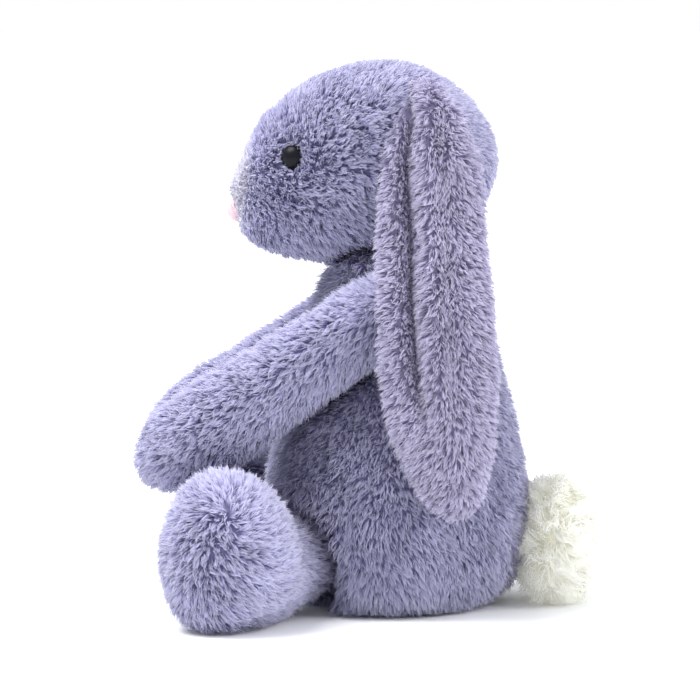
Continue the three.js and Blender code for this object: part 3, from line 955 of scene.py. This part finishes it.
# ---------------------------------------------------------------- eyes and nose


LATHE_STEPS = 48


def circle(angles, first, second):
    return np.cos(angles)[:, None] * first + np.sin(angles)[:, None] * second


def ring_faces(levels, steps):
    """The quads between rings of points, each ring joined to the next one."""
    faces = []
    for level in range(levels - 1):
        for k in range(steps):
            after = (k + 1) % steps
            faces.append((level * steps + k, level * steps + after,
                          (level + 1) * steps + after, (level + 1) * steps + k))
    return faces


def lathed(name, profile, centre, axis):
    """A turned form about the axis through the centre. The profile is [(radius, along), ...]."""
    axis = unit(np.array(axis, float))
    first = unit(np.cross(axis, [0.3, 0.2, 1.0]))
    second = np.cross(axis, first)
    angles = np.arange(LATHE_STEPS) * 2 * math.pi / LATHE_STEPS
    ring = circle(angles, first, second)
    rings = [centre + axis * along + ring * max(radius, 1e-6) for radius, along in profile]
    mesh = bpy.data.meshes.new(name)
    mesh.from_pydata(np.vstack(rings).tolist(), [], ring_faces(len(profile), LATHE_STEPS))
    work = bmesh.new()
    work.from_mesh(mesh)
    bmesh.ops.remove_doubles(work, verts=work.verts, dist=1e-5)
    bmesh.ops.recalc_face_normals(work, faces=work.faces)
    work.to_mesh(mesh)
    work.free()
    mesh.shade_smooth()
    return mesh


NOISE_DETAIL = 6.0
NOISE_RELIEF = 0.3 * MM


def noisy_material(name, dark, light, scale, roughness, bump=0.0, **sockets):
    """A colour that varies between dark and light in soft patches, with a bump to match."""
    material = new_material(name, light, roughness, **sockets)
    tree = material.node_tree
    place = add_node(material, "ShaderNodeTexCoord")
    patches = add_node(material, "ShaderNodeTexNoise", {
        "Scale": scale, "Detail": NOISE_DETAIL, "Vector": place.outputs["Object"]})
    colour = ramp_node(material, patches.outputs["Fac"], [(0.3, dark), (0.7, light)])
    feed(tree, tree.nodes["Principled BSDF"], {"Base Color": colour})
    if bump:
        add_relief(material, patches.outputs["Fac"], bump, NOISE_RELIEF)
    return material


def add_relief(material, height, strength, distance):
    """A bump of that height on the material's shader."""
    tree = material.node_tree
    relief = add_node(material, "ShaderNodeBump", {
        "Strength": strength, "Distance": distance, "Height": height})
    feed(tree, tree.nodes["Principled BSDF"], {"Normal": relief.outputs["Normal"]})


EYE_RADIUS = 4.4 * MM
EYE_HEIGHT = 3.4 * MM
EYE_SUNK = 2.4 * MM  # how far the eye is pulled in from its CAD seat
SHANK_RADIUS = 1.4 * MM


def make_eye(side, material):
    """A domed safety eye with a small rolled rim, on a ridged shank that goes through the cloth."""
    seat, axis = eye_seat(side)
    base = seat - axis * EYE_SUNK
    quarter = np.linspace(0, math.pi / 2, 14)
    dome = [(EYE_RADIUS * math.cos(t), EYE_HEIGHT * math.sin(t)) for t in quarter]
    rim = [(EYE_RADIUS * 0.93, -0.7 * MM), (EYE_RADIUS * 0.99, -0.45 * MM)]
    ridges = []
    for k in range(8):
        along = -9.0 * MM + k * 1.0 * MM
        ridges += [(SHANK_RADIUS, along), (SHANK_RADIUS * 0.8, along + 0.5 * MM)]
    profile = [(0, -9.2 * MM)] + ridges + [(SHANK_RADIUS, -0.7 * MM)] + rim + dome
    mesh = lathed("eye", profile, base, axis)
    placed_piece(f"eye_{side}_domed", mesh, "head", [f"eye_{side}"], material)


def stitch_thread(points, radius, sides=6):
    """Faces of a round thread through the points, as (points, faces)."""
    points = np.asarray(points)
    along = unit(np.gradient(points, axis=0))
    first = unit(np.cross(along, [0.31, 0.77, 0.55]))
    second = np.cross(along, first)
    angles = np.arange(sides) * 2 * math.pi / sides
    ring = points[:, None] + radius * (np.cos(angles)[None, :, None] * first[:, None]
                                       + np.sin(angles)[None, :, None] * second[:, None])
    count = len(points)
    faces = ring_faces(count, sides)
    faces.append(tuple(reversed(range(sides))))
    faces.append(tuple(range((count - 1) * sides, count * sides)))
    return ring.reshape(-1, 3), faces


def joined_threads(name, threads):
    mesh = joined(name, threads)
    mesh.shade_smooth()
    return mesh


def make_nose(material):
    """A soft three-cornered pad, satin stitched from top to bottom."""
    low, high = corners_of("nose")
    middle = (low + high) / 2
    half_width, half_height = (high[0] - low[0]) / 2, (high[2] - low[2]) / 2
    depth = high[1] - low[1]
    threads = []
    rows = 19
    for k in range(rows):
        u = (k - (rows - 1) / 2) / ((rows - 1) / 2)
        top = half_height * (0.72 - 0.22 * u * u)
        bottom = -half_height * (1.0 - 0.95 * abs(u) ** 1.3)
        t = np.linspace(0, 1, 12)
        z = middle[2] + top + (bottom - top) * t
        bulge = np.sin(math.pi * np.clip(t, 0, 1)) ** 0.5 * math.sqrt(max(1 - u * u, 0.03))
        y = high[1] - depth * (0.25 + 0.75 * bulge)
        x = np.full_like(t, middle[0] + half_width * 0.95 * u)
        threads.append(stitch_thread(np.stack([x, y, z], 1), half_width / rows * 1.25))
    mesh = joined_threads("nose", threads)
    placed_piece("nose_stitched", mesh, "head", ["nose"], material)


def make_face():
    gloss = noisy_material("eye_gloss", (0.003, 0.003, 0.005), (0.006, 0.006, 0.010), 90, 0.32,
                           Specular_IOR_Level=0.15)
    for side, _ in SIDES:
        make_eye(side, gloss)
    make_nose(noisy_material("nose_thread", srgb(224, 190, 199), srgb(246, 220, 227), 900, 0.55,
                             Sheen_Weight=0.3))


# ---------------------------------------------------------------- the inside and the stitches


def make_filling(node, body, material, seed):
    """A wad of fibre filling, lumpy where its tufts press against each other."""
    mesh = remeshed(joined_nodes([node]), 2.4 * MM)
    points, edges = points_of(mesh), edges_of(mesh)
    lumps = 0.7 * ripple(points, 13 * MM, seed) + 0.4 * ripple(points, 6 * MM, seed + 1)
    points -= normals_of(points, triangles_of(mesh)) * (1.1 + lumps[:, None] * 0.7) * MM
    set_points(mesh, relaxed(points, edges, 1))
    mesh.shade_smooth()
    piece = placed_piece(node + "_wad", mesh, body, [node], material)


def make_pouch(node, material, seed):
    """One half of the cotton pouch, puckered by its stitching and by the pellets behind it."""
    mesh = remeshed(joined_nodes([node]), 0.7 * MM)
    points = points_of(mesh)
    bumps = 0.16 * ripple(points, 4.5 * MM, seed) + 0.1 * ripple(points, 11 * MM, seed + 1)
    points += normals_of(points, triangles_of(mesh)) * bumps[:, None] * MM * 0.6
    set_points(mesh, relaxed(points, edges_of(mesh), 1))
    mesh.shade_smooth()
    placed_piece(node + "_cotton", mesh, "torso", [node], material)


PELLET_RADIUS = 1.9 * MM
PELLET_SPACING = 4.1 * MM


def pellet_places(rng):
    """Places for the pellets: a loose stack inside the CAD node that stands for them all."""
    low, high = corners_of("pellet_fill")
    tree = tree_of(frame["nodes"]["pellet_fill"].data)
    layers = np.arange(low[2] + PELLET_RADIUS, high[2], PELLET_SPACING * 0.82)
    places = []
    for number, z in enumerate(layers):
        for row, y in enumerate(np.arange(low[1], high[1], PELLET_SPACING * 0.87)):
            shift = PELLET_SPACING / 2 * ((row + number) % 2)
            places += [(x, y, z) for x in np.arange(low[0] + shift, high[0], PELLET_SPACING)]
    places = np.array(places) + rng.normal(0, 0.12 * MM, (len(places), 3))
    kept = []
    for place in places:
        nearest, normal, _, distance = tree.find_nearest(place.tolist())
        inside = (Vector(place) - nearest).dot(normal) < 0
        if inside and distance > PELLET_RADIUS:
            kept.append(place)
    return np.array(kept)


def make_pellets(material):
    """Small flattened plastic pellets, each turned its own way."""
    rng = np.random.default_rng(7)
    work = bmesh.new()
    bmesh.ops.create_icosphere(work, subdivisions=2, radius=1.0)
    ball = np.array([v.co for v in work.verts]) * [1, 0.92, 0.68] * PELLET_RADIUS
    faces = np.array([[v.index for v in face.verts] for face in work.faces])
    work.free()
    places = pellet_places(rng)
    turns = [Euler(rng.uniform(0, 2 * math.pi, 3)).to_matrix() for _ in places]
    points = np.vstack([ball @ np.array(turn) + place for turn, place in zip(turns, places)])
    shifts = np.repeat(np.arange(len(places)) * len(ball), len(faces))[:, None]
    mesh = bpy.data.meshes.new("pellets")
    mesh.from_pydata(points.tolist(), [], (np.tile(faces, (len(places), 1)) + shifts).tolist())
    mesh.shade_smooth()
    placed_piece("pellet_heap", mesh, "torso", ["pellet_fill"], material)


def make_washer(side, material):
    """The ribbed nylon washer that holds the eye's shank, with its sprung collar."""
    node = f"eye_washer_{side}"
    points = points_of(frame["nodes"][node].data)
    centre, axis = points.mean(0), eye_seat(side)[1]
    along = (points - centre) @ axis
    radius = np.linalg.norm(points - centre - along[:, None] * axis, axis=1)
    outer, inner, half = radius.max(), radius.min(), np.abs(along).max()
    profile = [(inner, -half), (inner * 1.25, -half)]
    for share in (0.3, 0.5, 0.7):
        at = inner + (outer - inner) * share
        profile += [(at, -half * 0.7), (at + (outer - inner) * 0.08, -half * 0.95)]
    profile += [(outer * 0.97, -half * 0.8), (outer, -half * 0.4)]
    profile += [(outer, half * 0.5), (outer * 0.95, half)]
    profile += [(inner * 1.5, half), (inner * 1.2, half * 0.7), (inner, half * 0.7), (inner, -half)]
    mesh = lathed("washer", profile, centre, axis)
    placed_piece(f"washer_{side}_ribbed", mesh, "head", [node], material)


def make_seam_pile(node, body, outward, coat_material, seed, length):
    """The pile caught in a joint's stitches, which hides them. It lies along outward."""
    mesh = frame["nodes"][node].data
    coat = Coat(lambda points: np.broadcast_to(outward, points.shape).astype(float), seed=seed,
                length=length, per_tuft=12, spacing=1.2 * MM, lean=50, swirl=25)
    fibres = grow(mesh, coat)
    pile = fibre_mesh(fibres, np.ones(len(fibres["paths"]), bool))
    placed_piece(node + "_pile", build_mesh(node, [pile]), body, [], coat_material)


def make_seam(node, body, material, turns=34):
    """The ladder stitch that closes a joint: two plies of thread wound round one ring."""
    points = points_of(frame["nodes"][node].data)
    centre = points.mean(0)
    first, second, axis = np.linalg.svd(points - centre, full_matrices=False)[2]
    offset = points - centre
    flat = np.hypot(offset @ first, offset @ second)
    radius = (flat.max() + flat.min()) / 2
    tube = (flat.max() - flat.min()) / 2
    angle = np.linspace(0, 2 * math.pi, 18 * turns + 1)
    threads = []
    for phase in (0, math.pi):
        wind = angle * turns + phase
        out = radius + 0.42 * tube * np.cos(wind)
        ring = circle(angle, first, second)
        path = centre + ring * out[:, None] + axis * 0.42 * tube * np.sin(wind)[:, None]
        threads.append(stitch_thread(path, tube * 0.5, sides=5))
    placed_piece(node + "_thread", joined_threads(node, threads), body, [node], material)


def woven_material(name, dark, light, pitch, roughness):
    """A plain weave: threads over and under each other at that pitch."""
    material = noisy_material(name, dark, light, 160, roughness)
    place = material.node_tree.nodes["Texture Coordinate"]
    heights = []
    for direction in ("X", "Y", "Z"):
        wave = add_node(material, "ShaderNodeTexWave", {
            "Scale": 1 / pitch / 20, "Distortion": 0.4, "Vector": place.outputs["Object"]},
            bands_direction=direction)
        heights.append(wave.outputs["Fac"])
    weave = heights[0]
    for other in heights[1:]:
        both = add_node(material, "ShaderNodeMath", {0: weave, 1: other}, operation="MULTIPLY")
        weave = both.outputs[0]
    add_relief(material, weave, 0.8, 0.2 * MM)
    return material


JOINED_LIMBS = (("shoulder", "arm"), ("hip", "leg"), ("ear", "ear"))


def make_inside():
    filling = noisy_material("fibre_filling", (0.80, 0.80, 0.78), (0.93, 0.93, 0.91), 260, 0.92,
                             bump=0.9)
    cotton = woven_material("pouch_weave", (0.70, 0.66, 0.57), (0.80, 0.76, 0.68), 0.8 * MM, 0.88)
    plastic = noisy_material("pellet_plastic", (0.62, 0.66, 0.70), (0.74, 0.77, 0.80), 320, 0.38,
                             bump=0.1, Subsurface_Weight=0.15)
    nylon = noisy_material("washer_nylon", (0.72, 0.71, 0.66), (0.80, 0.79, 0.74), 240, 0.42,
                           bump=0.15)
    thread = noisy_material("sewing_thread", srgb(150, 146, 188), srgb(186, 182, 220), 1400, 0.7,
                            bump=0.5)
    wads = [("body_stuffing", "torso"), ("head_stuffing", "head"), ("tail_stuffing", "tail")]
    limbs = [f"{limb}_{side}" for limb in ("arm", "leg") for side, _ in SIDES]
    wads += [(limb + "_stuffing", limb) for limb in limbs]
    for number, (node, body) in enumerate(wads):
        make_filling(node, body, filling, 200 + 3 * number)
    make_pouch("pellet_pouch_upper", cotton, 301)
    make_pouch("pellet_pouch_base", cotton, 305)
    make_pellets(plastic)
    make_seam("neck_seam", "neck_seam", thread)
    make_seam_pile("neck_seam", "neck_seam", np.array([0, 0, -1.0]), LILAC, 401, 6 * MM)
    make_seam("tail_seam", "torso", thread, turns=20)
    make_seam_pile("tail_seam", "torso", np.array([0, 0.6, -0.8]), LILAC, 402, 4.5 * MM)
    for side, sign in SIDES:
        make_washer(side, nylon)
        for number, (joint, limb) in enumerate(JOINED_LIMBS):
            node = f"{joint}_seam_{side}"
            make_seam(node, node, thread, turns=22)
            outward = unit(centre_of(f"{limb}_{side}_outer") - centre_of(node))
            coat_material = LINING if limb == "ear" else LILAC
            make_seam_pile(node, node, outward, coat_material, 410 + 2 * number + sign, 5 * MM)


# ---------------------------------------------------------------- the whole rabbit

make_camera()
make_studio()
make_torso()
make_head()
for side_name, side_sign in SIDES:
    make_arm(side_name, side_sign)
    make_leg(side_name, side_sign)
    make_ear(side_name, side_sign)
make_tail()
make_face()
make_inside()
